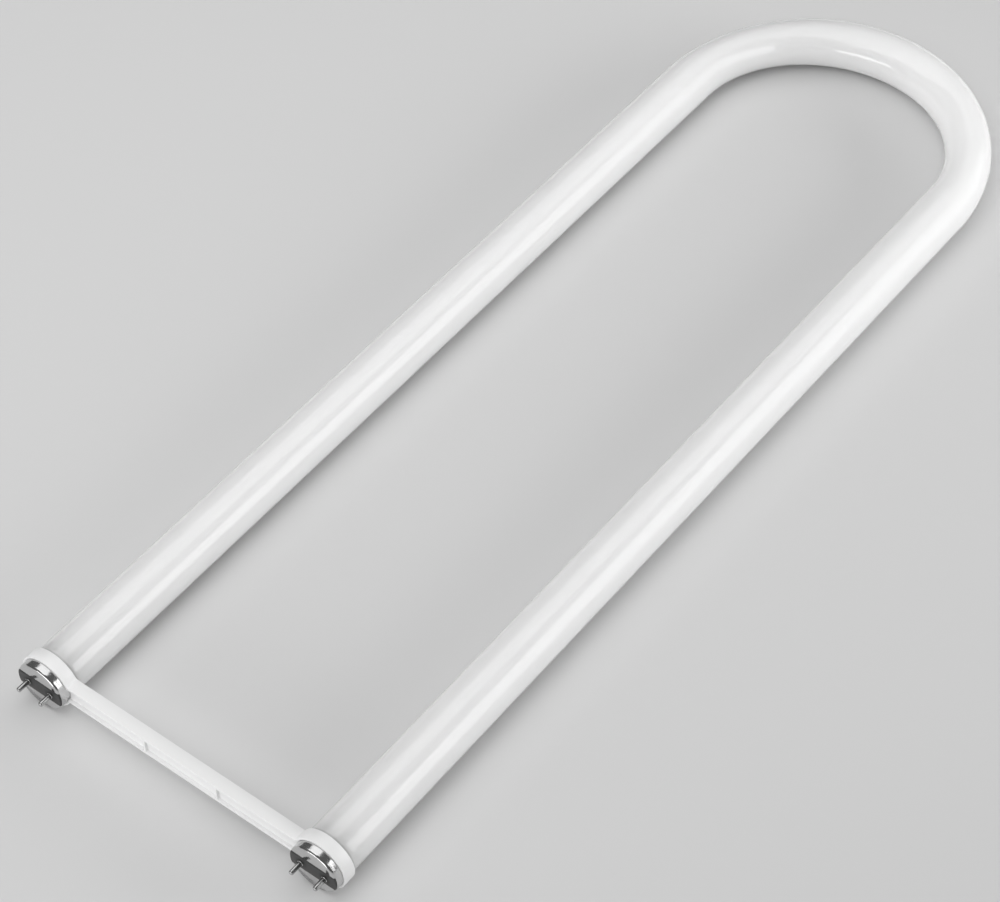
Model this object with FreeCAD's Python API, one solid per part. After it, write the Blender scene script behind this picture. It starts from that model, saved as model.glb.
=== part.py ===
"""U-bent fluorescent lamp, lying flat: legs along Y, pins towards -Y, bend towards +Y.

Millimetres, +Z up. The origin is on the table, under the middle of the lamp's outline.
"""
import FreeCAD, Part
import math
import os

from FreeCAD import Vector

# Glass tube
overall_length = 570.5
leg_spacing = 152.4
tube_diameter = 24.4
bend_draw_in = 0.85
bend_neck_angle = 28.0
glass_shoulder_length = 1.6
glass_end_chamfer = 2.0

# Base caps
cap_step = 0.2
cap_length = 10.3
cap_wall = 0.4
cap_edge_chamfer = 0.5
cement_thickness = 0.5
cement_length = 2.6
cement_setback = 0.4

# Insulators
insulator_bar_height = 8.0
insulator_bar_depth = 0.5
insulator_proud = 0.3
insulator_disc_thickness = 1.6
insulator_clearance = 0.1
insulator_end_inset = 0.2
insulator_edge_chamfer = 0.3

# Contact pins and their leads
pin_spacing = 12.7
pin_diameter = 2.35
pin_length = 6.6
pin_bore_diameter = 1.3
pin_tip_wall = 0.8
pin_tip_chamfer = 0.6
pin_collar_diameter = 3.4
pin_collar_thickness = 0.5
pin_head_diameter = 3.2
pin_head_thickness = 0.5
pin_clearance = 0.02
lead_diameter = 0.5
lead_tip_gap = 0.4

# Spacer bracket
ring_setback = 4.2
ring_width = 6.2
ring_wall = 1.0
ring_clearance = 0.1
bar_height = 10.4
flange_thickness = 1.5
web_thickness = 1.6
front_pocket_depth = 1.4
rib_spacing = 40.0
rib_thickness = 1.0
corner_fillet = 1.5
bracket_edge_chamfer = 0.3

# Places worked out from the sizes above
ALONG = Vector(0, 1, 0)
tube_radius = tube_diameter / 2
cap_radius = tube_radius + cap_step
cap_bore_radius = cap_radius - cap_wall
neck_radius = cap_bore_radius - cement_thickness
ring_bore_radius = cap_radius + ring_clearance
ring_radius = ring_bore_radius + ring_wall
bend_radius = leg_spacing / 2
axis_height = max(ring_radius, tube_radius)

pin_tip_y = -overall_length / 2
pin_bore_end_y = pin_tip_y + pin_tip_wall
insulator_face_y = pin_tip_y + pin_length
cap_face_y = insulator_face_y + insulator_proud
disc_front_y = cap_face_y + cap_wall
disc_back_y = disc_front_y + insulator_disc_thickness
bar_back_y = cap_face_y + insulator_bar_depth
pin_head_y = max(disc_back_y, bar_back_y)
pin_end_y = pin_head_y + pin_head_thickness
skirt_end_y = cap_face_y + cap_length
cement_back_y = skirt_end_y - cement_setback
cement_front_y = cement_back_y - cement_length
glass_end_y = cement_front_y - glass_end_chamfer
ring_front_y = cap_face_y + ring_setback
ring_back_y = ring_front_y + ring_width
shoulder_end_y = skirt_end_y + glass_shoulder_length
bend_centre_y = overall_length / 2 - tube_radius - bend_radius

SIDES = {"left": -leg_spacing / 2, "right": leg_spacing / 2}


def on_leg(x, y):
    """Point of a leg's axis."""
    return Vector(x, y, axis_height)


def rod(x, y_from, y_to, radius):
    """Round bar along Y, at the height of the legs' axes."""
    return Part.makeCylinder(radius, y_to - y_from, on_leg(x, y_from), ALONG)


def block(x_from, x_to, y_from, y_to, z_from, z_to):
    """Box between two corners, with z measured from the legs' axes."""
    corner = Vector(x_from, y_from, axis_height + z_from)
    return Part.makeBox(x_to - x_from, y_to - y_from, z_to - z_from, corner)


def turned(x, y_from, profile):
    """Solid turned about a leg-parallel axis from (radius, distance along Y) points on its half section."""
    points = [Vector(x + radius, y_from + along, axis_height) for radius, along in profile]
    face = Part.Face(Part.makePolygon(points + points[:1]))
    return face.revolve(on_leg(x, 0), ALONG, 360)


def circles_at(shape, y, radius):
    """Circular edges of a shape at one place along Y with one radius."""
    found = []
    for edge in shape.Edges:
        if not isinstance(edge.Curve, Part.Circle):
            continue
        if abs(edge.Curve.Center.y - y) < 1e-6 and abs(edge.Curve.Radius - radius) < 1e-6:
            found.append(edge)
    return found


def bend_section_radius(angle):
    """Tube radius along the bend: drawn in where each bend starts, full at both ends and at the crown."""
    share = min(angle, 180 - angle) / 90
    exponent = math.log(0.5) / math.log(bend_neck_angle / 90)
    drawn_in = math.sin(math.pi * share ** exponent) ** 2
    return tube_radius - drawn_in * bend_draw_in


def bend_section(angle):
    """Round section of the bend, angle degrees from the left leg."""
    turn = math.radians(angle)
    centre = Vector(-bend_radius * math.cos(turn), bend_centre_y + bend_radius * math.sin(turn), axis_height)
    forward = Vector(math.sin(turn), math.cos(turn), 0)
    return Part.Wire(Part.makeCircle(bend_section_radius(angle), centre, forward))


def glass_tube():
    """Sealed tube: two legs with necked, bevelled ends and a half-circle bend with drawn-in shoulders."""
    first_half = [0, bend_neck_angle / 2, bend_neck_angle, 2 * bend_neck_angle]
    angles = first_half + [90] + [180 - angle for angle in reversed(first_half)]
    glass = Part.makeLoft([bend_section(angle) for angle in angles], True, False)
    end_to_skirt = skirt_end_y - glass_end_y
    end_to_shoulder = shoulder_end_y - glass_end_y
    end_to_bend = bend_centre_y - glass_end_y
    half_section = [
        (0, 0),
        (neck_radius, 0),
        (neck_radius, end_to_skirt),
        (tube_radius, end_to_shoulder),
        (tube_radius, end_to_bend),
        (0, end_to_bend),
    ]
    for x in SIDES.values():
        leg = turned(x, glass_end_y, half_section)
        leg = leg.makeChamfer(glass_end_chamfer, circles_at(leg, glass_end_y, neck_radius))
        glass = glass.fuse(leg)
    return glass


def bar_slot(x):
    """Space for the insulator's bar: right across the cap's face and down its side."""
    half = insulator_bar_height / 2 + insulator_clearance
    depth = insulator_proud + insulator_bar_depth + insulator_clearance
    reach = 2 * cap_radius
    return block(x - reach, x + reach, insulator_face_y, insulator_face_y + depth, -half, half)


def base_cap(x):
    """Drawn metal cup with a bevelled edge, slotted across its face for the insulator's bar."""
    cup = rod(x, cap_face_y, skirt_end_y, cap_radius)
    cup = cup.makeChamfer(cap_edge_chamfer, circles_at(cup, cap_face_y, cap_radius))
    hollow = rod(x, disc_front_y, skirt_end_y, cap_bore_radius)
    return cup.cut(hollow).cut(bar_slot(x))


def insulator(x, pin_places):
    """Disc inside the cap, with a bar that comes out through the slot and two holes for the pins."""
    disc = rod(x, disc_front_y, disc_back_y, cap_bore_radius - insulator_clearance)
    bar_end_radius = cap_radius - insulator_end_inset
    half = insulator_bar_height / 2
    bar = rod(x, insulator_face_y, bar_back_y, bar_end_radius)
    bar = bar.makeChamfer(insulator_edge_chamfer, circles_at(bar, insulator_face_y, bar_end_radius))
    bar = bar.common(block(x - cap_radius, x + cap_radius, insulator_face_y, bar_back_y, -half, half))
    body = disc.fuse(bar).removeSplitter()
    hole_radius = pin_diameter / 2 + pin_clearance
    return body.cut([rod(place, insulator_face_y, pin_head_y, hole_radius) for place in pin_places])


def contact_pin(x):
    """Hollow pin with a bevelled tip, a collar on the insulator's face and a clinched head behind it."""
    radius = pin_diameter / 2
    collar_front_y = insulator_face_y - pin_collar_thickness
    shank = rod(x, pin_tip_y, pin_end_y, radius)
    shank = shank.makeChamfer(pin_tip_chamfer, circles_at(shank, pin_tip_y, radius))
    collar = rod(x, collar_front_y, insulator_face_y, pin_collar_diameter / 2)
    head = rod(x, pin_head_y, pin_end_y, pin_head_diameter / 2)
    bore = rod(x, pin_bore_end_y, pin_end_y, pin_bore_diameter / 2)
    return shank.fuse([collar, head]).removeSplitter().cut(bore)


def lead_wire(x):
    """Lead from the glass end straight up the bore of its pin."""
    return rod(x, pin_bore_end_y + lead_tip_gap, glass_end_y, lead_diameter / 2)


def cement_ring(x):
    """Basing cement between the cap's skirt and the necked glass end."""
    outside = rod(x, cement_front_y, cement_back_y, cap_bore_radius)
    return outside.cut(rod(x, cement_front_y, cement_back_y, neck_radius))


def bar_pockets(y_from, y_to, end):
    """Three pockets side by side in the bar, between its flanges, its two ribs and its ends."""
    half = bar_height / 2 - flange_thickness
    rib_out = rib_spacing / 2 + rib_thickness / 2
    rib_in = rib_spacing / 2 - rib_thickness / 2
    spans = [(-end, -rib_out), (-rib_in, rib_in), (rib_out, end)]
    return [block(x_from, x_to, y_from, y_to, -half, half) for x_from, x_to in spans]


def spacer_bracket():
    """One moulding: a ring round each cap and an I-section bar with two ribs between them."""
    half = bar_height / 2
    body = block(-leg_spacing / 2, leg_spacing / 2, ring_front_y, ring_back_y, -half, half)
    body = body.fuse([rod(x, ring_front_y, ring_back_y, ring_radius) for x in SIDES.values()])
    body = body.removeSplitter()
    corner_x = leg_spacing / 2 - math.sqrt(ring_radius ** 2 - half ** 2)
    corners = []
    for edge in body.Edges:
        middle = edge.BoundBox.Center
        upright = edge.BoundBox.YLength > 0.9 * ring_width
        at_corner = abs(abs(middle.x) - corner_x) < 1e-3 and abs(abs(middle.z - axis_height) - half) < 1e-3
        if upright and at_corner:
            corners.append(edge)
    body = body.makeFillet(corner_fillet, corners)
    rims = [edge for edge in body.Edges if edge.BoundBox.YLength < 1e-6]
    body = body.makeChamfer(bracket_edge_chamfer, rims)
    web_front_y = ring_front_y + front_pocket_depth
    cuts = bar_pockets(ring_front_y, web_front_y, leg_spacing / 2)
    cuts += bar_pockets(web_front_y + web_thickness, ring_back_y, leg_spacing / 2 - ring_radius)
    cuts += [rod(x, ring_front_y, ring_back_y, ring_bore_radius) for x in SIDES.values()]
    return body.cut(cuts)


def main():
    os.makedirs("parts", exist_ok=True)
    nodes = {"glass_tube": glass_tube(), "spacer_bracket": spacer_bracket()}
    for side, x in SIDES.items():
        outward = math.copysign(pin_spacing / 2, x)
        pins = {"outer": x + outward, "inner": x - outward}
        nodes[f"{side}_base_cap"] = base_cap(x)
        nodes[f"{side}_insulator"] = insulator(x, pins.values())
        nodes[f"{side}_basing_cement"] = cement_ring(x)
        for place, pin_x in pins.items():
            nodes[f"{side}_{place}_pin"] = contact_pin(pin_x)
            nodes[f"{side}_{place}_lead"] = lead_wire(pin_x)
    for name, shape in nodes.items():
        shape.exportStep(f"parts/{name}.step")


main()
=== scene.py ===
"""U-bent fluorescent lamp: its glass, bases and spacer bracket in finished materials, on a pale table."""

import math

import bmesh
import bpy
from mathutils import Matrix, Vector


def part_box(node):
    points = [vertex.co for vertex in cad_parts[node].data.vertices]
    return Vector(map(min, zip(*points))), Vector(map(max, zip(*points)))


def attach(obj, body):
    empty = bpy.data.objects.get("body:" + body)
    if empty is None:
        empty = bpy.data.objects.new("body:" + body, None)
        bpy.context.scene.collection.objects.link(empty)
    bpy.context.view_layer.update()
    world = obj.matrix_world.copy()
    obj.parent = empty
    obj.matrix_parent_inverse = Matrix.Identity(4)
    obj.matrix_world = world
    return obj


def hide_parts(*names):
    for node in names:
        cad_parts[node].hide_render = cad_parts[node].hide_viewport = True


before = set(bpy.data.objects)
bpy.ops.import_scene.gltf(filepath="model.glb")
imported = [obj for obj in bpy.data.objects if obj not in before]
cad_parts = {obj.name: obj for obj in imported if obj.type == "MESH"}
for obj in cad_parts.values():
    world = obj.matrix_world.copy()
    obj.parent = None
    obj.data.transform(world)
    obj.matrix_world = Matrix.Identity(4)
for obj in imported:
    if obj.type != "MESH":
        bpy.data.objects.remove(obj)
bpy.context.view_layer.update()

bl_info = {
    "name": "U-bent fluorescent lamp",
    "version": (1, 0, 0),
    "blender": (4, 5, 0),
    "location": "View3D > Sidebar > Lamp",
    "description": "Makes the pieces of a U-bent fluorescent lamp and the table that it lies on",
    "category": "Object",
}

SIDES = ("left", "right")
PLACES = ("outer", "inner")

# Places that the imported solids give, in metres
glass_low, glass_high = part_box("glass_tube")
left_cap_low, left_cap_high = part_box("left_base_cap")
right_cap_low, right_cap_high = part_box("right_base_cap")
insulator_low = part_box("left_insulator")[0]
outer_pin_low, outer_pin_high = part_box("left_outer_pin")
inner_pin_low, inner_pin_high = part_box("left_inner_pin")
bracket_low, bracket_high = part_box("spacer_bracket")

LEG_SPACING = (right_cap_low.x + right_cap_high.x - left_cap_low.x - left_cap_high.x) / 2
PIN_SPACING = (inner_pin_low.x + inner_pin_high.x - outer_pin_low.x - outer_pin_high.x) / 2
CAP_RADIUS = (left_cap_high.x - left_cap_low.x) / 2
TUBE_RADIUS = (glass_high.x - glass_low.x - LEG_SPACING) / 2
AXIS_HEIGHT = (bracket_low.z + bracket_high.z) / 2
RING_RADIUS = (bracket_high.z - bracket_low.z) / 2
CAP_FACE = left_cap_low.y
SKIRT_END = left_cap_high.y
GLASS_END = glass_low.y
BEND_CENTRE = glass_high.y - TUBE_RADIUS - LEG_SPACING / 2
BAR_FACE = insulator_low.y
PIN_TIP = outer_pin_low.y
PIN_END = outer_pin_high.y
RING_FRONT = bracket_low.y
RING_BACK = bracket_high.y

# How far the glass steps in at its neck, and the insulator's bar inside the cap's edge, in metres
NECK_STEP = 0.0007
BAR_END_INSET = 0.0002

# Angles of the cap's outside to its face, in degrees: where the sloping rim starts and where it rolls over
RIM_START = 33
ROLL_START = 44

# Sides of the round pieces
GLASS_SIDES = 64
CAP_SIDES = 160
PIN_SIDES = 40
RING_SIDES = 128

# Mesh work: points this near are merged and cutters stand out this far, in metres
MERGE_DISTANCE = 1e-7
CUT_CLEARANCE = 0.001

# Edges that turn by more than this many degrees are rounded
ROUNDED_FROM = 40

# Reach of marks in the finishes, in metres: painted shadow on the glass behind the rings, painted shadow
# round the pins, and darkening towards the pins' roots
RING_SHADOW_START, RING_SHADOW_END = 0.0008, 0.0018
PIN_SHADOW_RADIUS, PIN_SHADOW_FADE = 0.0017, 0.0036
ROOT_DARKENING_LENGTH = 0.003

# Table, in metres
TABLE_REACH = 3.0
TABLE_SQUARES = 8

# Camera: its place and how far it sees in metres, its own directions, its lens and sensor in millimetres
CAMERA_PLACE = Vector((0.566016, -0.754167, 1.052799))
CAMERA_RIGHT = Vector((0.78985, 0.61302, -0.01867))
CAMERA_DOWN = Vector((0.45389, -0.60476, -0.65441))
CAMERA_AHEAD = Vector((-0.41245, 0.50841, -0.75591))
CAMERA_LENS = 109.142
CAMERA_SENSOR = 36
CAMERA_RANGE = 50


def length(name, description, default):
    """Length property in metres."""
    return bpy.props.FloatProperty(
        name=name, description=description, default=default, precision=5, subtype="DISTANCE", unit="LENGTH"
    )


def angle(name, description, degrees):
    """Angle property, with its default given in degrees."""
    return bpy.props.FloatProperty(
        name=name, description=description, default=math.radians(degrees), subtype="ANGLE", unit="ROTATION"
    )


def tone(name, description, default):
    """Colour property, given as one grey level or as a colour."""
    colour = (default,) * 3 if isinstance(default, float) else default
    return bpy.props.FloatVectorProperty(
        name=name, description=description, default=colour, size=3, min=0, max=1, subtype="COLOR"
    )


def share(name, description, default):
    """Property from 0, nothing, to 1, all of it."""
    return bpy.props.FloatProperty(
        name=name, description=description, default=default, min=0, max=1, subtype="FACTOR"
    )


def level(name, description, default):
    """Brightness property: a panel at 1 looks white where it is seen."""
    return bpy.props.FloatProperty(name=name, description=description, default=default, min=0)


class LampSizes(bpy.types.PropertyGroup):
    """Sizes of the lamp's pieces"""

    leg_spacing: length("Leg spacing", "Distance between the axes of the two legs", LEG_SPACING)
    tube_radius: length("Tube radius", "Outside radius of the glass", TUBE_RADIUS)
    neck_radius: length("Neck radius", "Radius of the glass inside the base", TUBE_RADIUS - NECK_STEP)
    shoulder_length: length("Shoulder length", "Length over which the neck widens to the tube", 0.0016)
    bend_draw_in: length("Bend draw-in", "How much thinner the glass gets where each bend starts", 0.00085)
    bend_neck_angle: angle("Neck angle", "Angle round the bend, from a leg, where the glass is thinnest", 28)
    ring_step: length("Ring step", "Distance along the glass between its cross-sections", 0.0016)
    cap_radius: length("Cap radius", "Outside radius of the metal base cap", CAP_RADIUS)
    cap_wall: length("Cap wall", "Thickness of the cap's sheet metal", 0.0004)
    cap_edge_radius: length("Cap edge radius", "Radius of the rolled edge round the cap's face", 0.0013)
    cap_rim_width: length("Cap rim width", "Width of the sloping rim inside the rolled edge", 0.0003)
    slot_height: length("Slot height", "Height of the slot across the cap's face", 0.0082)
    slot_depth: length("Slot depth", "How far the slot goes down the cap's side", 0.0006)
    bar_height: length("Insulator height", "Height of the insulator's bar", 0.008)
    bar_depth: length("Insulator depth", "Depth of the insulator's bar", 0.0008)
    bar_end_radius: length("Insulator ends", "Radius of the bar's rounded ends", CAP_RADIUS - BAR_END_INSET)
    pin_spacing: length("Pin spacing", "Distance between the two pins of a base", PIN_SPACING)
    pin_radius: length("Pin radius", "Radius of a contact pin", 0.001175)
    pin_tip_radius: length("Pin tip radius", "Radius of the rounding at a pin's tip", 0.0007)
    collar_radius: length("Collar radius", "Radius of the collar at a pin's root", 0.0015)
    collar_thickness: length("Collar thickness", "Thickness of the collar at a pin's root", 0.0005)
    ring_radius: length("Ring radius", "Outside radius of the bracket's rings", RING_RADIUS)
    ring_wall: length("Ring wall", "Wall of the bracket's rings", 0.001)
    spacer_height: length("Spacer height", "Height of the bracket's bar", 0.0104)
    flange_thickness: length("Flange thickness", "Thickness of the bar's top and bottom flange", 0.0015)
    web_thickness: length("Web thickness", "Thickness of the bar's web", 0.0016)
    pocket_depth: length("Pocket depth", "Depth of the pockets in the bar's front", 0.0014)
    rib_spacing: length("Rib spacing", "Distance between the bar's two ribs", 0.04)
    rib_thickness: length("Rib thickness", "Thickness of the bar's ribs", 0.001)
    corner_radius: length("Corner radius", "Radius where the bar runs into a ring", 0.0015)
    moulded_edge: length("Moulded edge", "Radius of the moulded pieces' edges", 0.0003)


class LampFinishes(bpy.types.PropertyGroup):
    """Colours of the lamp's pieces and of the table"""

    phosphor: tone("Phosphor", "White coat behind the clear glass", 0.83)
    scatter: length("Scatter", "How far light spreads in the white coat", 0.06)
    # The glass is made darker towards the bases, by this share and over this length
    end_shade: share("End shade", "How much the coat thins out towards the bases", 0.16)
    base_darkening_length: length("Thinning length", "Length over which the coat thins out", 0.045)
    # Painted shadow: how dark the band on the glass just behind each bracket ring is
    ring_shadow: share("Seam shade", "How dark the seam is between the glass and the bracket's ring", 0.25)
    plastic: tone("Bracket plastic", "White moulding of the spacer bracket", 0.82)
    cap_metal: tone("Cap metal", "Bright drawn metal of the base caps", 0.64)
    insulator: tone("Insulator", "Dark moulding between the pins and the cap", 0.036)
    pin_plating: tone("Pin plating", "Plated metal of the contact pins", 0.5)
    lead_wire: tone("Lead wire", "Drawn wire inside the bases", (0.62, 0.56, 0.5))
    cement: tone("Basing cement", "Cement between cap and glass", (0.55, 0.45, 0.35))
    table: tone("Table", "Pale table top", 0.67)


class LampStudio(bpy.types.PropertyGroup):
    """Brightness of the lights"""

    overhead: level("Overhead", "Wide panel above the lamp and behind it", 1.6)
    overhead_far: share("Overhead, far end", "Share of the overhead panel's brightness at its far end", 0.2)
    right_box: level("Right box", "Upright box at the right, seen only in reflections", 2.2)
    right_box_far: share("Right box, far end", "Share of the right box's brightness at its far end", 0.32)
    front_box: level("Front box", "Panel above and behind the camera", 1.8)
    front_wall: level("Front wall", "Low panel in front of the bases", 3.6)
    front_fill: level("Front fill", "Low panel that lights the bases and the bracket from the front", 1.6)
    left_box: level("Left box", "Upright box at the front left", 1.25)
    right_fill: level("Right fill", "Low panel at the right, behind the lamp", 8.8)
    right_fill_far: share("Right fill, far end", "Share of the right fill's brightness at its far end", 0.6)
    room: level("Room", "Even light from all round", 0.12)


class Wire:
    """An output socket that Python arithmetic can be written on."""

    def __init__(self, sheet, socket):
        self.sheet = sheet
        self.socket = socket

    def other(self, name):
        """Another output of the same node."""
        return Wire(self.sheet, self.socket.node.outputs[name])

    def __abs__(self):
        return self.sheet.maths("ABSOLUTE", self)

    def __add__(self, value):
        return self.sheet.maths("ADD", self, value)

    def __radd__(self, value):
        return self.sheet.maths("ADD", value, self)

    def __sub__(self, value):
        return self.sheet.maths("SUBTRACT", self, value)

    def __rsub__(self, value):
        return self.sheet.maths("SUBTRACT", value, self)

    def __mul__(self, value):
        return self.sheet.maths("MULTIPLY", self, value)

    def __rmul__(self, value):
        return self.sheet.maths("MULTIPLY", value, self)

    def __truediv__(self, value):
        return self.sheet.maths("DIVIDE", self, value)

    def __rtruediv__(self, value):
        return self.sheet.maths("DIVIDE", value, self)

    def __pow__(self, value):
        return self.sheet.maths("POWER", self, value)

    def __rpow__(self, value):
        return self.sheet.maths("POWER", value, self)


class Sheet:
    """A node tree that is filled in from Python expressions."""

    def __init__(self, tree):
        self.tree = tree
        tree.nodes.clear()

    def node(self, kind, settings=None, inputs=None, output=0):
        """Add a node: its settings first, then values or links for its sockets. Gives one of its outputs."""
        made = self.tree.nodes.new(kind)
        for name, value in (settings or {}).items():
            setattr(made, name, value)
        for key, value in (inputs or {}).items():
            if isinstance(value, Wire):
                self.tree.links.new(value.socket, made.inputs[key])
            else:
                made.inputs[key].default_value = value
        return Wire(self, made.outputs[output]) if made.outputs else None

    def maths(self, operation, *values):
        """A Math node on wires and numbers."""
        return self.node("ShaderNodeMath", {"operation": operation}, dict(enumerate(values)))

    def smooth(self, value, low, high):
        """0 below low and 1 above high, with a smooth step between."""
        settings = {"interpolation_type": "SMOOTHSTEP"}
        return self.node("ShaderNodeMapRange", settings, {"Value": value, "From Min": low, "From Max": high})


class Finish(Sheet):
    """A material whose colour, roughness and relief are worked out over the surface."""

    def __init__(self, name, **uniform):
        self.material = bpy.data.materials.new(name)
        self.material.use_nodes = True
        super().__init__(self.material.node_tree)
        self.place = self.node("ShaderNodeTexCoord", output="Object")
        self.x = self.node("ShaderNodeSeparateXYZ", inputs={0: self.place}, output="X")
        self.y = self.x.other("Y")
        self.z = self.x.other("Z")
        self.shader = self.node("ShaderNodeBsdfPrincipled", inputs=uniform)
        self.node("ShaderNodeOutputMaterial", inputs={"Surface": self.shader})

    def noise(self, cells, detail=2.0):
        """Noise from 0 to 1, with its cells per metre as one number or as one for each axis."""
        spread = cells if isinstance(cells, tuple) else (cells,) * 3
        place = self.node("ShaderNodeVectorMath", {"operation": "MULTIPLY"}, {0: self.place, 1: spread})
        return self.node("ShaderNodeTexNoise", inputs={"Vector": place, "Scale": 1.0, "Detail": detail})

    def between(self, low, high, amount):
        """Value that goes from low to high as an amount goes from 0 to 1."""
        return low + amount * (high - low)

    def tinted(self, colour, factor):
        """A colour brightened or darkened by a factor round 1."""
        scaled = {0: tuple(colour), "Scale": factor}
        return self.node("ShaderNodeVectorMath", {"operation": "SCALE"}, scaled)

    def feed(self, socket, value):
        """Link a worked-out value to one of the shader's sockets."""
        self.tree.links.new(value.socket, self.shader.socket.node.inputs[socket])

    def relief(self, height, depth, strength=1.0):
        """Fine relief on the surface, its full depth in metres."""
        bump = {"Height": height, "Distance": depth, "Strength": strength}
        self.feed("Normal", self.node("ShaderNodeBump", inputs=bump))


def glass_finish(look):
    """White coat seen through clear glass: glossy, faintly mottled, darker towards the bases, with a painted
    shadow just behind each bracket ring.
    """
    scatter = {"Subsurface Weight": 1.0, "Subsurface Radius": (1, 1, 1), "Subsurface Scale": look.scatter}
    finish = Finish("white glass", IOR=1.65, **scatter)
    mottle = finish.between(0.99, 1.01, finish.noise(45, detail=3))
    # Darker towards the bases, falling off over the given length
    base_darkening = finish.maths("EXPONENT", (SKIRT_END - finish.y) / look.base_darkening_length)
    # Painted shadow: a narrow band on the glass just behind each bracket ring, where the ring shades it
    shadow = 1 - finish.smooth(finish.y, RING_BACK + RING_SHADOW_START, RING_BACK + RING_SHADOW_END)
    shade = mottle - base_darkening * look.end_shade - shadow * look.ring_shadow
    finish.feed("Base Color", finish.tinted(look.phosphor, shade))
    finish.feed("Roughness", finish.between(0, 0.02, finish.noise(160)))
    finish.relief(finish.noise(30, detail=1), depth=0.0002, strength=0.2)
    return finish.material


def plastic_finish(look):
    """Satin white moulding with a fine grain."""
    finish = Finish("white plastic", IOR=1.46)
    cloud = finish.between(0.985, 1.015, finish.noise(70, detail=3))
    finish.feed("Base Color", finish.tinted(look.plastic, cloud))
    finish.feed("Roughness", finish.between(0.34, 0.46, finish.noise(400)))
    finish.relief(finish.noise(1800), depth=0.00002)
    return finish.material


def cap_finish(look):
    """Bright drawn metal: faint rings from the drawing, small dents and dull spots."""
    finish = Finish("cap metal")
    dull_spots = finish.smooth(finish.noise(500, detail=4), 0.72, 0.8)
    finish.feed("Metallic", finish.between(1, 0.7, dull_spots))
    tarnish = finish.between(0.94, 1.06, finish.noise(220, detail=4))
    finish.feed("Base Color", finish.tinted(look.cap_metal, tarnish))
    rings = finish.noise((30, 5200, 30))
    finish.feed("Roughness", finish.between(0.13, 0.21, rings))
    dents = finish.noise(260)
    finish.relief(dents + rings * 0.04, depth=0.00012)
    return finish.material


def insulator_finish(look):
    """Dark moulded insulation with a granular surface, with a painted shadow round each pin."""
    finish = Finish("dark insulator", IOR=1.5)
    across = abs(abs(finish.x) - LEG_SPACING / 2) - PIN_SPACING / 2
    up = finish.z - AXIS_HEIGHT
    from_pin = finish.maths("SQRT", across ** 2 + up ** 2)
    # Painted shadow: the insulator is darkened in a ring round each pin's root
    pin_shadow = 1 - finish.smooth(from_pin, PIN_SHADOW_RADIUS, PIN_SHADOW_FADE)
    grain = finish.between(0.75, 1.25, finish.noise(900, detail=4))
    finish.feed("Base Color", finish.tinted(look.insulator, grain - pin_shadow * 0.7))
    finish.feed("Roughness", finish.between(0.42, 0.58, finish.noise(300)))
    finish.relief(finish.noise(1500, detail=3), depth=0.00004)
    return finish.material


def pin_finish(look):
    """Plated pin with fine lines along it, a little darker towards the root."""
    finish = Finish("pin plating", Metallic=1.0)
    # Darker towards the root, where the pin meets the insulator
    root = finish.smooth(finish.y, BAR_FACE - ROOT_DARKENING_LENGTH, BAR_FACE)
    spots = finish.between(0.925, 1.075, finish.noise(900, detail=3))
    finish.feed("Base Color", finish.tinted(look.pin_plating, spots - root * 0.1))
    lines = finish.noise((4000, 60, 4000))
    finish.feed("Roughness", finish.between(0.2, 0.3, lines))
    finish.relief(lines, depth=0.00001)
    return finish.material


def lead_finish(look):
    """Drawn wire with fine lines along it."""
    finish = Finish("lead metal", Metallic=1.0)
    lines = finish.noise((6000, 40, 6000))
    finish.feed("Base Color", finish.tinted(look.lead_wire, finish.between(0.9, 1.1, lines)))
    finish.feed("Roughness", finish.between(0.25, 0.4, lines))
    return finish.material


def cement_finish(look):
    """Dull granular cement."""
    finish = Finish("basing cement")
    grain = finish.noise(1200, detail=4)
    finish.feed("Base Color", finish.tinted(look.cement, finish.between(0.75, 1.25, grain)))
    finish.feed("Roughness", finish.between(0.75, 0.95, grain))
    finish.relief(grain, depth=0.0001)
    return finish.material


def table_finish(look):
    """Smooth pale table top."""
    finish = Finish("table top", IOR=1.4)
    cloud = finish.between(0.99, 1.01, finish.noise(3))
    finish.feed("Base Color", finish.tinted(look.table, cloud))
    finish.feed("Roughness", finish.between(0.6, 0.7, finish.noise(40)))
    return finish.material


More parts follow.
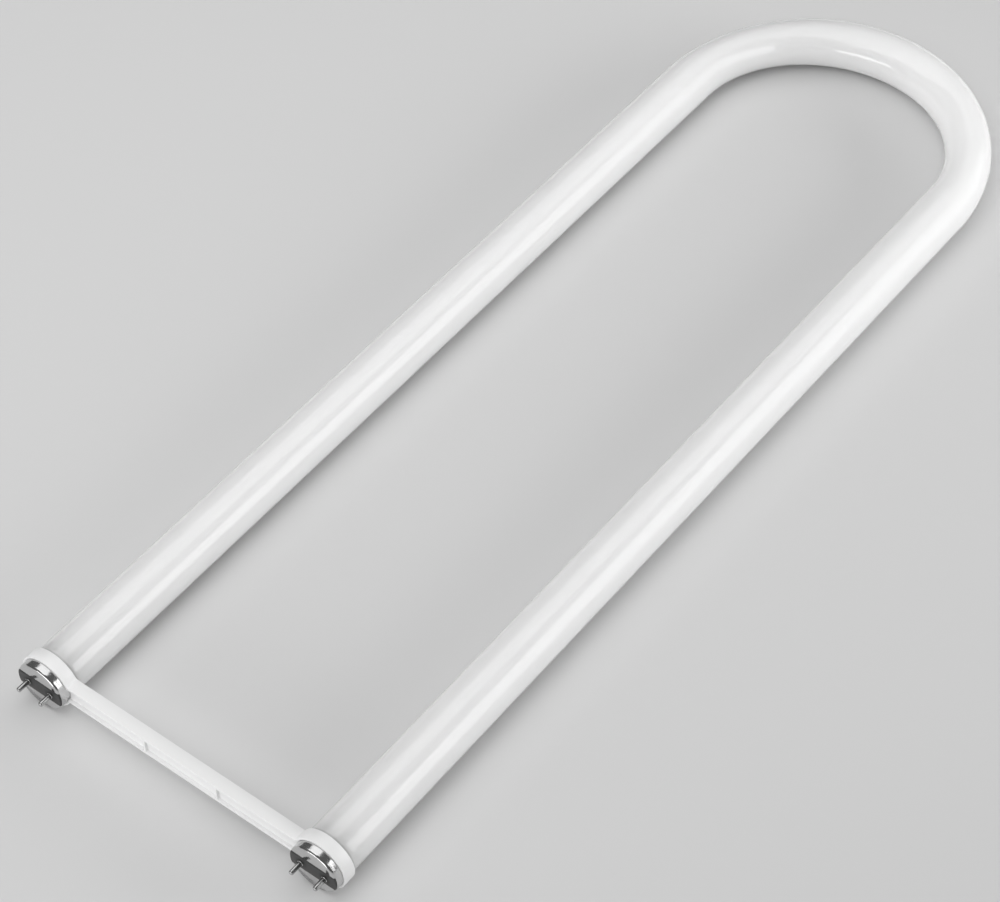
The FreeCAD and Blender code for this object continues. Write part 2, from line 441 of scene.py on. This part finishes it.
class Rule(Sheet):
    """A Geometry Nodes tree with named inputs, whose result becomes a plain mesh."""

    KINDS = {float: "NodeSocketFloat", int: "NodeSocketInt", bpy.types.Material: "NodeSocketMaterial"}

    def __init__(self, name, **values):
        super().__init__(bpy.data.node_groups.new(name, "GeometryNodeTree"))
        face = self.tree.interface
        face.new_socket("Geometry", in_out="INPUT", socket_type="NodeSocketGeometry")
        face.new_socket("Geometry", in_out="OUTPUT", socket_type="NodeSocketGeometry")
        self.values = {}
        for key, value in values.items():
            socket = face.new_socket(key, in_out="INPUT", socket_type=self.KINDS[type(value)])
            self.values[socket.identifier] = value
        self.start = self.node("NodeGroupInput", output="Geometry")

    def get(self, name):
        """One of the tree's inputs."""
        return self.start.other(name)

    def vector(self, x, y, z):
        """Vector from three values."""
        return self.node("ShaderNodeCombineXYZ", inputs={0: x, 1: y, 2: z})

    def finish(self, geometry):
        """End the tree: instances made real, smooth faces and the material."""
        real = self.node("GeometryNodeRealizeInstances", inputs={"Geometry": geometry})
        smooth = self.node("GeometryNodeSetShadeSmooth", inputs={"Geometry": real})
        dressed = {"Geometry": smooth, "Material": self.get("material")}
        self.node("NodeGroupOutput", inputs={0: self.node("GeometryNodeSetMaterial", inputs=dressed)})

    def run(self, piece):
        """Evaluate the tree on a piece and keep the result as its mesh."""
        modifier = piece.modifiers.new(self.tree.name, "NODES")
        modifier.node_group = self.tree
        for identifier, value in self.values.items():
            modifier[identifier] = value
        bake(piece)


def bake(piece):
    """Replace a piece's mesh by what its modifiers make of it."""
    graph = bpy.context.evaluated_depsgraph_get()
    mesh = bpy.data.meshes.new_from_object(piece.evaluated_get(graph), depsgraph=graph)
    piece.modifiers.clear()
    old = piece.data
    piece.data = mesh
    bpy.data.meshes.remove(old)
    mesh.name = piece.name


def new_piece(name, mesh=None):
    """Object at the origin in the scene."""
    piece = bpy.data.objects.new(name, mesh or bpy.data.meshes.new(name))
    bpy.context.scene.collection.objects.link(piece)
    return piece


def settle(piece, nodes, sharp_angle):
    """Make a piece's faces point outwards, and let it stand for its solids on the lamp's one body."""
    work = bmesh.new()
    work.from_mesh(piece.data)
    bmesh.ops.remove_doubles(work, verts=work.verts, dist=MERGE_DISTANCE)
    bmesh.ops.recalc_face_normals(work, faces=work.faces)
    work.to_mesh(piece.data)
    work.free()
    if not piece.data.polygons:
        raise RuntimeError(f"{piece.name} came out empty")
    piece.data.shade_smooth()
    piece.data.set_sharp_from_angle(angle=math.radians(sharp_angle))
    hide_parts(*nodes)
    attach(piece, "root")


def arc(centre, radius, start, end, steps):
    """Points of an arc, with angles in degrees."""
    points = []
    for step in range(steps + 1):
        turn = math.radians(start + (end - start) * step / steps)
        points.append((centre[0] + radius * math.cos(turn), centre[1] + radius * math.sin(turn)))
    return points


def lathe(work, profile, sides):
    """Turn (radius, y) points about the Y axis. A radius of 0 closes the form in one point."""
    rings = []
    for radius, y in profile:
        turns = [math.tau * k / sides for k in range(sides if radius else 1)]
        rings.append([work.verts.new((radius * math.cos(t), y, radius * math.sin(t))) for t in turns])
    for one, two in zip(rings, rings[1:]):
        for k in range(sides):
            follow = k + 1
            corners = [one[k % len(one)], one[follow % len(one)], two[follow % len(two)], two[k % len(two)]]
            unique = list(dict.fromkeys(corners))
            if len(unique) > 2:
                work.faces.new(unique)


def slab(work, outline, y_from, y_to):
    """Extrude an outline of (x, z) points along Y."""
    front = [work.verts.new((x, y_from, z)) for x, z in outline]
    back = [work.verts.new((x, y_to, z)) for x, z in outline]
    work.faces.new(front)
    work.faces.new(back[::-1])
    for k in range(len(outline)):
        follow = (k + 1) % len(outline)
        work.faces.new((front[k], front[follow], back[follow], back[k]))


def drawn_piece(name, draw):
    """Piece that a function draws on an empty bmesh, with its faces pointing outwards."""
    work = bmesh.new()
    draw(work)
    bmesh.ops.recalc_face_normals(work, faces=work.faces)
    mesh = bpy.data.meshes.new(name)
    work.to_mesh(mesh)
    work.free()
    return new_piece(name, mesh)


def cut(piece, name, draw):
    """Take what a function draws away from a piece."""
    cutter = drawn_piece(name, draw)
    modifier = piece.modifiers.new(name, "BOOLEAN")
    modifier.operation = "DIFFERENCE"
    modifier.solver = "EXACT"
    modifier.use_self = True
    modifier.object = cutter
    bake(piece)
    bpy.data.objects.remove(cutter)


def round_edges(piece, radius, segments):
    """Round the sharp edges of a piece."""
    modifier = piece.modifiers.new("rounded edges", "BEVEL")
    modifier.width = radius
    modifier.segments = segments
    modifier.limit_method = "ANGLE"
    modifier.angle_limit = math.radians(ROUNDED_FROM)
    bake(piece)


def rectangle(x_from, x_to, z_from, z_to):
    """Outline of a rectangle."""
    return [(x_from, z_from), (x_to, z_from), (x_to, z_to), (x_from, z_to)]


def set_out(piece, sizes, material, pair_spacing=None):
    """Repeat a piece on both legs' axes, and there on each place of a pair."""
    values = {"leg_spacing": sizes.leg_spacing, "axis_height": AXIS_HEIGHT, "material": material}
    if pair_spacing:
        values["pair_spacing"] = pair_spacing
    rule = Rule(f"set out {piece.name}", **values)

    def pair(geometry, spacing, height):
        points = rule.node(
            "GeometryNodeMeshLine",
            inputs={
                "Count": 2,
                "Start Location": rule.vector(spacing * -0.5, 0.0, height),
                "Offset": rule.vector(spacing, 0.0, 0.0),
            },
        )
        return rule.node("GeometryNodeInstanceOnPoints", inputs={"Points": points, "Instance": geometry})

    shape = rule.start
    if pair_spacing:
        shape = pair(shape, rule.get("pair_spacing"), 0.0)
    rule.finish(pair(shape, rule.get("leg_spacing"), rule.get("axis_height")))
    rule.run(piece)


class LAMP_OT_glass_tube(bpy.types.Operator):
    """Make the glass: a round section carried up one leg, round the bend and down the other leg"""

    bl_idname = "lamp.glass_tube"
    bl_label = "Glass tube"

    def execute(self, context):
        sizes = context.scene.lamp_sizes
        path_length = 2 * (BEND_CENTRE - GLASS_END) + math.pi * sizes.leg_spacing / 2
        rule = Rule(
            "glass tube",
            leg_spacing=sizes.leg_spacing,
            tube_radius=sizes.tube_radius,
            neck_radius=sizes.neck_radius,
            shoulder_length=sizes.shoulder_length,
            draw_in=sizes.bend_draw_in,
            neck_angle=sizes.bend_neck_angle,
            glass_end=GLASS_END,
            skirt_end=SKIRT_END,
            bend_centre=BEND_CENTRE,
            axis_height=AXIS_HEIGHT,
            sections=round(path_length / sizes.ring_step) + 1,
            sides=GLASS_SIDES,
            material=glass_finish(context.scene.lamp_finishes),
        )

        # Path: each section's distance along it, its turn round the bend and its place
        bend = rule.get("leg_spacing") / 2
        leg = rule.get("bend_centre") - rule.get("glass_end")
        round_bend = bend * math.pi
        progress = rule.node("GeometryNodeInputIndex") / (rule.get("sections") - 1)
        along = progress * (leg * 2 + round_bend)
        turn = rule.maths("MINIMUM", rule.maths("MAXIMUM", (along - leg) / bend, 0.0), math.pi)
        before = rule.maths("MAXIMUM", leg - along, 0.0)
        after = rule.maths("MAXIMUM", along - leg - round_bend, 0.0)
        x = rule.maths("COSINE", turn) * bend * -1
        y = rule.get("bend_centre") + rule.maths("SINE", turn) * bend - before - after
        line = rule.node("GeometryNodeMeshLine", inputs={"Count": rule.get("sections")})
        placed = {"Geometry": line, "Position": rule.vector(x, y, rule.get("axis_height"))}
        path = rule.node("GeometryNodeSetPosition", inputs=placed)
        path = rule.node("GeometryNodeMeshToCurve", inputs={"Mesh": path})

        # Radius: drawn in where each bend starts, necked inside the bases
        quarter = math.pi / 2
        into_bend = rule.maths("MINIMUM", turn, math.pi - turn) / quarter
        power = rule.maths("LOGARITHM", 0.5, rule.get("neck_angle") / quarter)
        drawn = rule.maths("SINE", into_bend ** power * math.pi) ** 2 * rule.get("draw_in")
        shoulder = rule.get("skirt_end") + rule.get("shoulder_length")
        necked = 1 - rule.smooth(y, rule.get("skirt_end"), shoulder)
        radius = rule.get("tube_radius") - drawn
        radius = radius - necked * (rule.get("tube_radius") - rule.get("neck_radius"))

        circle = {"Resolution": rule.get("sides"), "Radius": 1.0}
        section = rule.node("GeometryNodeCurvePrimitiveCircle", inputs=circle)
        sweep = {"Curve": path, "Profile Curve": section, "Scale": radius, "Fill Caps": True}
        rule.finish(rule.node("GeometryNodeCurveToMesh", inputs=sweep))
        piece = new_piece("glass")
        rule.run(piece)
        settle(piece, ["glass_tube"], sharp_angle=60)
        return {"FINISHED"}


class LAMP_OT_base_caps(bpy.types.Operator):
    """Make the two base caps: drawn cups with a sloping rim, a rolled edge and a slot across the face"""

    bl_idname = "lamp.base_caps"
    bl_label = "Base caps"

    def execute(self, context):
        sizes = context.scene.lamp_sizes
        radius, wall, edge = sizes.cap_radius, sizes.cap_wall, sizes.cap_edge_radius
        start, roll = math.radians(RIM_START), math.radians(ROLL_START)
        rim_radius = sizes.cap_rim_width / (math.sin(roll) - math.sin(start))
        face_radius = radius - edge + edge * math.sin(roll) - sizes.cap_rim_width
        rim_centre = (face_radius - rim_radius * math.sin(start), CAP_FACE + rim_radius * math.cos(start))
        rim = arc(rim_centre, rim_radius, RIM_START - 90, ROLL_START - 90, steps=3)
        roll_centre = (radius - edge, rim[-1][1] + edge * math.cos(roll))
        rolled = arc(roll_centre, edge, ROLL_START - 90, 0, steps=8)
        inner = max(edge - wall, wall)
        hollow = arc((radius - wall - inner, CAP_FACE + wall + inner), inner, 0, -90, steps=6)
        outside = [(0, CAP_FACE), *rim, *rolled[1:], (radius, SKIRT_END)]
        profile = [*outside, (radius - wall, SKIRT_END), *hollow, (0, CAP_FACE + wall)]
        piece = drawn_piece("base_caps", lambda work: lathe(work, profile, CAP_SIDES))
        half, reach = sizes.slot_height / 2, 2 * radius
        slot = rectangle(-reach, reach, -half, half)
        cut(piece, "bar slot", lambda work: slab(work, slot, CAP_FACE - edge, CAP_FACE + sizes.slot_depth))
        set_out(piece, sizes, cap_finish(context.scene.lamp_finishes))
        settle(piece, [f"{side}_base_cap" for side in SIDES], sharp_angle=35)
        return {"FINISHED"}


class LAMP_OT_insulators(bpy.types.Operator):
    """Make the two dark insulators: a bar with rounded ends in each cap's slot"""

    bl_idname = "lamp.insulators"
    bl_label = "Insulators"

    def execute(self, context):
        sizes = context.scene.lamp_sizes
        reach = math.degrees(math.asin(sizes.bar_height / 2 / sizes.bar_end_radius))
        right = arc((0, 0), sizes.bar_end_radius, -reach, reach, steps=12)
        left = arc((0, 0), sizes.bar_end_radius, 180 - reach, 180 + reach, steps=12)
        bar_back = BAR_FACE + sizes.bar_depth
        piece = drawn_piece("insulators", lambda work: slab(work, right + left, BAR_FACE, bar_back))
        round_edges(piece, sizes.moulded_edge, segments=3)
        set_out(piece, sizes, insulator_finish(context.scene.lamp_finishes))
        settle(piece, [f"{side}_insulator" for side in SIDES], sharp_angle=50)
        return {"FINISHED"}


class LAMP_OT_contact_pins(bpy.types.Operator):
    """Make the four contact pins: rounded tip, straight shank and a collar on the insulator"""

    bl_idname = "lamp.contact_pins"
    bl_label = "Contact pins"

    def execute(self, context):
        sizes = context.scene.lamp_sizes
        shank, collar, thick = sizes.pin_radius, sizes.collar_radius, sizes.collar_thickness
        round_tip, soft = sizes.pin_tip_radius, thick / 2
        tip = arc((shank - round_tip, PIN_TIP + round_tip), round_tip, -90, 0, steps=8)
        rim = arc((collar - soft, BAR_FACE - thick + soft), soft, -90, 0, steps=4)
        front = [(0, PIN_TIP), *tip, (shank, BAR_FACE - thick), *rim, (collar, BAR_FACE)]
        profile = [*front, (shank, BAR_FACE), (shank, PIN_END), (0, PIN_END)]
        piece = drawn_piece("contact_pins", lambda work: lathe(work, profile, PIN_SIDES))
        set_out(piece, sizes, pin_finish(context.scene.lamp_finishes), sizes.pin_spacing)
        nodes = [f"{side}_{place}_pin" for side in SIDES for place in PLACES]
        settle(piece, nodes, sharp_angle=40)
        return {"FINISHED"}


class LAMP_OT_spacer_bracket(bpy.types.Operator):
    """Make the spacer bracket: a ring round each base and a ribbed bar between them"""

    bl_idname = "lamp.spacer_bracket"
    bl_label = "Spacer bracket"

    def execute(self, context):
        sizes = context.scene.lamp_sizes
        axis, half = sizes.leg_spacing / 2, sizes.spacer_height / 2
        ring, soft = sizes.ring_radius, sizes.corner_radius
        corner_x = axis - math.sqrt((ring + soft) ** 2 - (half + soft) ** 2)
        turn = math.degrees(math.asin((half + soft) / (ring + soft)))
        quarter = [
            *arc((axis, 0), ring, 0, 180 - turn, steps=RING_SIDES // 2),
            *arc((corner_x, half + soft), soft, -turn, -90, steps=6)[1:],
        ]
        top = quarter + [(-x, z) for x, z in reversed(quarter)][:-1]
        outline = top + [(-x, -z) for x, z in top]
        piece = drawn_piece("spacer", lambda work: slab(work, outline, RING_FRONT, RING_BACK))
        before, behind = RING_FRONT - CUT_CLEARANCE, RING_BACK + CUT_CLEARANCE
        web_front = RING_FRONT + sizes.pocket_depth
        web_back = web_front + sizes.web_thickness

        def pockets(work, y_from, y_to, end):
            rib_out = (sizes.rib_spacing + sizes.rib_thickness) / 2
            rib_in = (sizes.rib_spacing - sizes.rib_thickness) / 2
            inside = half - sizes.flange_thickness
            for x_from, x_to in ((-end, -rib_out), (-rib_in, rib_in), (rib_out, end)):
                slab(work, rectangle(x_from, x_to, -inside, inside), y_from, y_to)

        def bores(work):
            for x in (-axis, axis):
                bore = arc((x, 0), ring - sizes.ring_wall, 0, 360, steps=RING_SIDES)[:-1]
                slab(work, bore, before, behind)

        cut(piece, "front pockets", lambda work: pockets(work, before, web_front, axis))
        cut(piece, "back pockets", lambda work: pockets(work, web_back, behind, axis - ring))
        cut(piece, "ring bores", bores)
        round_edges(piece, sizes.moulded_edge, segments=2)
        piece.data.transform(Matrix.Translation((0, 0, AXIS_HEIGHT)))
        piece.data.materials.append(plastic_finish(context.scene.lamp_finishes))
        settle(piece, ["spacer_bracket"], sharp_angle=40)
        return {"FINISHED"}


def dress(node, material):
    """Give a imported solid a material."""
    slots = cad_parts[node].data.materials
    slots.clear()
    slots.append(material)


class LAMP_OT_inner_parts(bpy.types.Operator):
    """Give the lead wires and the basing cement inside the bases their finishes"""

    bl_idname = "lamp.inner_parts"
    bl_label = "Inner parts"

    def execute(self, context):
        look = context.scene.lamp_finishes
        wire, cement = lead_finish(look), cement_finish(look)
        for side in SIDES:
            dress(f"{side}_basing_cement", cement)
            for place in PLACES:
                dress(f"{side}_{place}_lead", wire)
        return {"FINISHED"}


def lay_table(look):
    """Flat table top under the lamp."""
    work = bmesh.new()
    bmesh.ops.create_grid(work, x_segments=TABLE_SQUARES, y_segments=TABLE_SQUARES, size=TABLE_REACH)
    mesh = bpy.data.meshes.new("table")
    work.to_mesh(mesh)
    work.free()
    table = new_piece("table", mesh)
    mesh.materials.append(table_finish(look))


def light_panel(name, centre, across, up, brightness, far_share=1.0, mirrored=True, lights=True):
    """Flat light with its two full edges as vectors, dimmed along the first edge to a share at its far end.

    One that isn't mirrored stays out of reflections, and one that doesn't light is seen only in them.
    """
    across, up = Vector(across), Vector(up)
    data = bpy.data.lights.new(name, "AREA")
    data.shape = "RECTANGLE"
    data.size = across.length
    data.size_y = up.length
    data.energy = brightness * math.pi * data.size * data.size_y
    data.use_nodes = True
    sheet = Sheet(data.node_tree)
    along = sheet.node("ShaderNodeNewGeometry", output="Parametric")
    along = sheet.node("ShaderNodeSeparateXYZ", inputs={0: along}, output="X")
    glow = sheet.node("ShaderNodeEmission", inputs={"Strength": 1 + along * (far_share - 1)})
    sheet.node("ShaderNodeOutputLight", inputs={"Surface": glow})
    side, top = across.normalized(), up.normalized()
    turn = Matrix((side, top, side.cross(top))).transposed().to_4x4()
    lamp = bpy.data.objects.new(name, data)
    lamp.matrix_world = Matrix.Translation(centre) @ turn
    lamp.visible_glossy = mirrored
    lamp.visible_diffuse = lights
    bpy.context.scene.collection.objects.link(lamp)


def set_lights(studio):
    """Panels round the lamp, in metres."""
    light_panel(
        "overhead",
        centre=(-0.302, 0.474, 0.977),
        across=(0.514, 1.829, 0),
        up=(-1.090, 0.306, 0.397),
        brightness=studio.overhead,
        far_share=studio.overhead_far,
    )
    light_panel(
        "right box",
        centre=(0.422, 0.42, 0.25),
        across=(-0.384, 0.96, 0),
        up=(0, 0, 0.46),
        brightness=studio.right_box,
        far_share=studio.right_box_far,
        lights=False,
    )
    light_panel(
        "front box",
        centre=(0.1, -0.9, 1.5),
        across=(1.2, 0.93, 0),
        up=(-0.65, 0.83, 0.8),
        brightness=studio.front_box,
        mirrored=False,
    )
    light_panel(
        "front wall",
        centre=(-0.15, -1.6, 0.2),
        across=(1.4, 0, 0),
        up=(0, 0, 0.4),
        brightness=studio.front_wall,
    )
    light_panel(
        "front fill",
        centre=(0, -1.5, 0.35),
        across=(1.2, 0, 0),
        up=(0, 0, 0.5),
        brightness=studio.front_fill,
        mirrored=False,
    )
    light_panel(
        "left box",
        centre=(-1.4, -0.8, 0.6),
        across=(0.5, -0.9, 0),
        up=(0, 0, 1),
        brightness=studio.left_box,
        mirrored=False,
    )
    light_panel(
        "right fill",
        centre=(0.95, 0.8, 0.3),
        across=(-0.7, 0.8, 0),
        up=(0, 0, 0.5),
        brightness=studio.right_fill,
        far_share=studio.right_fill_far,
        mirrored=False,
    )


def fill_room(scene):
    """Even white light from all round."""
    world = scene.world or bpy.data.worlds.new("room")
    scene.world = world
    world.use_nodes = True
    room = Sheet(world.node_tree)
    white = {"Color": (1, 1, 1, 1), "Strength": scene.lamp_studio.room}
    room.node("ShaderNodeOutputWorld", inputs={"Surface": room.node("ShaderNodeBackground", inputs=white)})


def place_camera(scene):
    """Camera that looks down on the lamp from its base end."""
    camera = bpy.data.objects.new("camera", bpy.data.cameras.new("camera"))
    scene.collection.objects.link(camera)
    scene.camera = camera
    camera.data.sensor_width = CAMERA_SENSOR
    camera.data.sensor_fit = "HORIZONTAL"
    camera.data.lens = CAMERA_LENS
    camera.data.clip_end = CAMERA_RANGE
    turn = Matrix((CAMERA_RIGHT, -CAMERA_DOWN, -CAMERA_AHEAD)).transposed().to_4x4()
    camera.matrix_world = Matrix.Translation(CAMERA_PLACE) @ turn


class LAMP_OT_stage(bpy.types.Operator):
    """Lay the table, set the lights and put the camera where the picture was taken from"""

    bl_idname = "lamp.stage"
    bl_label = "Table, lights and camera"

    def execute(self, context):
        scene = context.scene
        lay_table(scene.lamp_finishes)
        set_lights(scene.lamp_studio)
        fill_room(scene)
        place_camera(scene)
        scene.view_settings.view_transform = "Standard"
        scene.view_settings.look = "None"
        return {"FINISHED"}


STEPS = (
    LAMP_OT_glass_tube,
    LAMP_OT_base_caps,
    LAMP_OT_insulators,
    LAMP_OT_contact_pins,
    LAMP_OT_spacer_bracket,
    LAMP_OT_inner_parts,
    LAMP_OT_stage,
)
GROUPS = {"lamp_sizes": LampSizes, "lamp_finishes": LampFinishes, "lamp_studio": LampStudio}


class LAMP_PT_sidebar(bpy.types.Panel):
    """The lamp's pieces, sizes, finishes and lights"""

    bl_idname = "LAMP_PT_sidebar"
    bl_label = "U-bent lamp"
    bl_space_type = "VIEW_3D"
    bl_region_type = "UI"
    bl_category = "Lamp"

    def draw(self, context):
        column = self.layout.column(align=True)
        for step in STEPS:
            column.operator(step.bl_idname)
        for name, kind in GROUPS.items():
            box = self.layout.box().column(align=True)
            for setting in kind.__annotations__:
                box.prop(getattr(context.scene, name), setting)


def register():
    """Add the settings, the operators and the panel to Blender."""
    for kind in (*GROUPS.values(), *STEPS, LAMP_PT_sidebar):
        bpy.utils.register_class(kind)
    for name, kind in GROUPS.items():
        setattr(bpy.types.Scene, name, bpy.props.PointerProperty(type=kind))


def unregister():
    """Take the settings, the operators and the panel out of Blender."""
    for name in GROUPS:
        delattr(bpy.types.Scene, name)
    for kind in (LAMP_PT_sidebar, *reversed(STEPS), *reversed(tuple(GROUPS.values()))):
        bpy.utils.unregister_class(kind)


def main():
    """Register the settings and operators, make every piece in turn, then the table, lights and camera."""
    register()
    bpy.ops.lamp.glass_tube()
    bpy.ops.lamp.base_caps()
    bpy.ops.lamp.insulators()
    bpy.ops.lamp.contact_pins()
    bpy.ops.lamp.spacer_bracket()
    bpy.ops.lamp.inner_parts()
    bpy.ops.lamp.stage()


if __name__ == "__main__":
    main()
